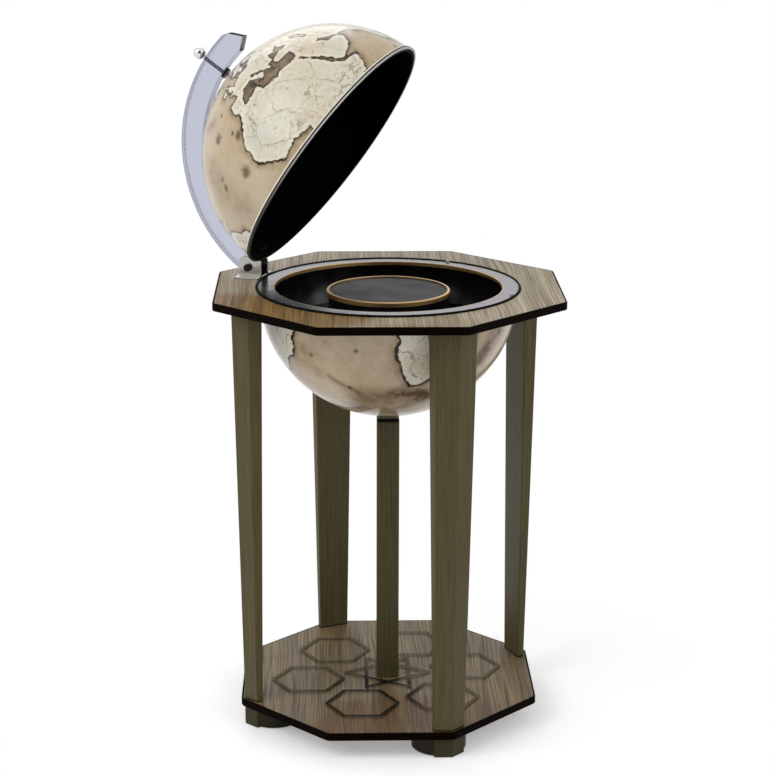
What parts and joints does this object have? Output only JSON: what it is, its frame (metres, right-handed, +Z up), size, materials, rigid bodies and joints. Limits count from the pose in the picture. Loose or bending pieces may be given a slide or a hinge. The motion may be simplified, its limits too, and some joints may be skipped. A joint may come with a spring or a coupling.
{
  "type": "globe bar",
  "caption": "Floor-standing globe bar: octagonal table on legs with a lower shelf, carrying a globe whose upper half tilts open on a side hinge over a glass tray.",
  "frame": {"origin": "on the floor, under the column's axis, which is also the globe's axis", "axes": "+Z up, +X to the right and -Y towards the viewer of the front; the lid's hinge is towards -X and +Y"},
  "size_m": [0.5849, 0.53, 1.0811],
  "materials": {
    "table_veneer": "open-grained veneer, satin lacquer",
    "shelf_veneer": "open-grained veneer with fine dark line inlay, satin lacquer",
    "edge_lipping": "dark stained lipping, satin lacquer",
    "leg_wood": "olive-brown stained hardwood, satin lacquer",
    "foot_wood": "olive-brown stained hardwood, satin lacquer",
    "cap_wood": "olive-brown stained hardwood, satin lacquer",
    "dowel_wood": "bare beech",
    "zinc_fastener": "zinc plated",
    "foot_rubber": "matte",
    "black_rubber": "matte",
    "globe_map": "printed map under a satin varnish",
    "polished_ring": "polished, grey with a faint lilac cast",
    "gilt_trim": "polished",
    "black_tray": "moulded, glossy",
    "black_liner": "moulded, satin",
    "rim_trim": "metallised, pale, with a groove round it",
    "chrome": "polished",
    "black_cap": "moulded, glossy",
    "clear_acrylic": "clear, polished edges, small dark graduations",
    "knob_finish": "polished"
  },
  "bodies": {
    "table": {"top_board": "table_veneer", "top_edge_band": "edge_lipping", "shelf_board": "shelf_veneer", "shelf_edge_band": "edge_lipping", "leg_dowels": "dowel_wood", "leg_screws": "zinc_fastener", "floor_pads": "foot_rubber", "column": "leg_wood", "column_gasket": "black_rubber", "column_cap": "cap_wood", "column_bolt": "zinc_fastener", "column_washer": "zinc_fastener", "bowl_shell": "globe_map", "bowl_bolt": "zinc_fastener", "bowl_washer": "zinc_fastener", "bowl_ring": "polished_ring", "ring_lip": "gilt_trim", "ring_gasket": "black_rubber", "glass_tray": "black_tray", "pedestal": "black_tray", "pedestal_trim": "gilt_trim", "lid_bumpers": "black_rubber", "hinge_base": "chrome", "hinge_screws": "chrome", "hinge_pin": "chrome", "hinge_pin_caps": "black_cap", "leg_front_right": "leg_wood", "foot_drum_front_right": "foot_wood", "foot_shoe_front_right": "leg_wood", "leg_back_right": "leg_wood", "foot_drum_back_right": "foot_wood", "foot_shoe_back_right": "leg_wood", "leg_back_left": "leg_wood", "foot_drum_back_left": "foot_wood", "foot_shoe_back_left": "leg_wood", "leg_front_left": "leg_wood", "foot_drum_front_left": "foot_wood", "foot_shoe_front_left": "leg_wood"},
    "lid": {"dome_shell": "globe_map", "dome_liner": "black_liner", "dome_rim": "rim_trim", "meridian": "clear_acrylic", "hinge_knuckle": "chrome", "clamp_screws": "chrome", "rim_screws": "zinc_fastener", "pole_pin": "chrome", "ball_knob": "knob_finish", "pole_spacer": "black_cap", "pole_nut": "zinc_fastener"}
  },
  "joints": [
    {"name": "lid_hinge", "type": "hinge", "parent": "table", "child": "lid", "pos_m": [-0.21197, 0.07925, 0.7005], "axis": [0.3502, 0.9367, 0], "range_deg": [0, 56]}
  ]
}
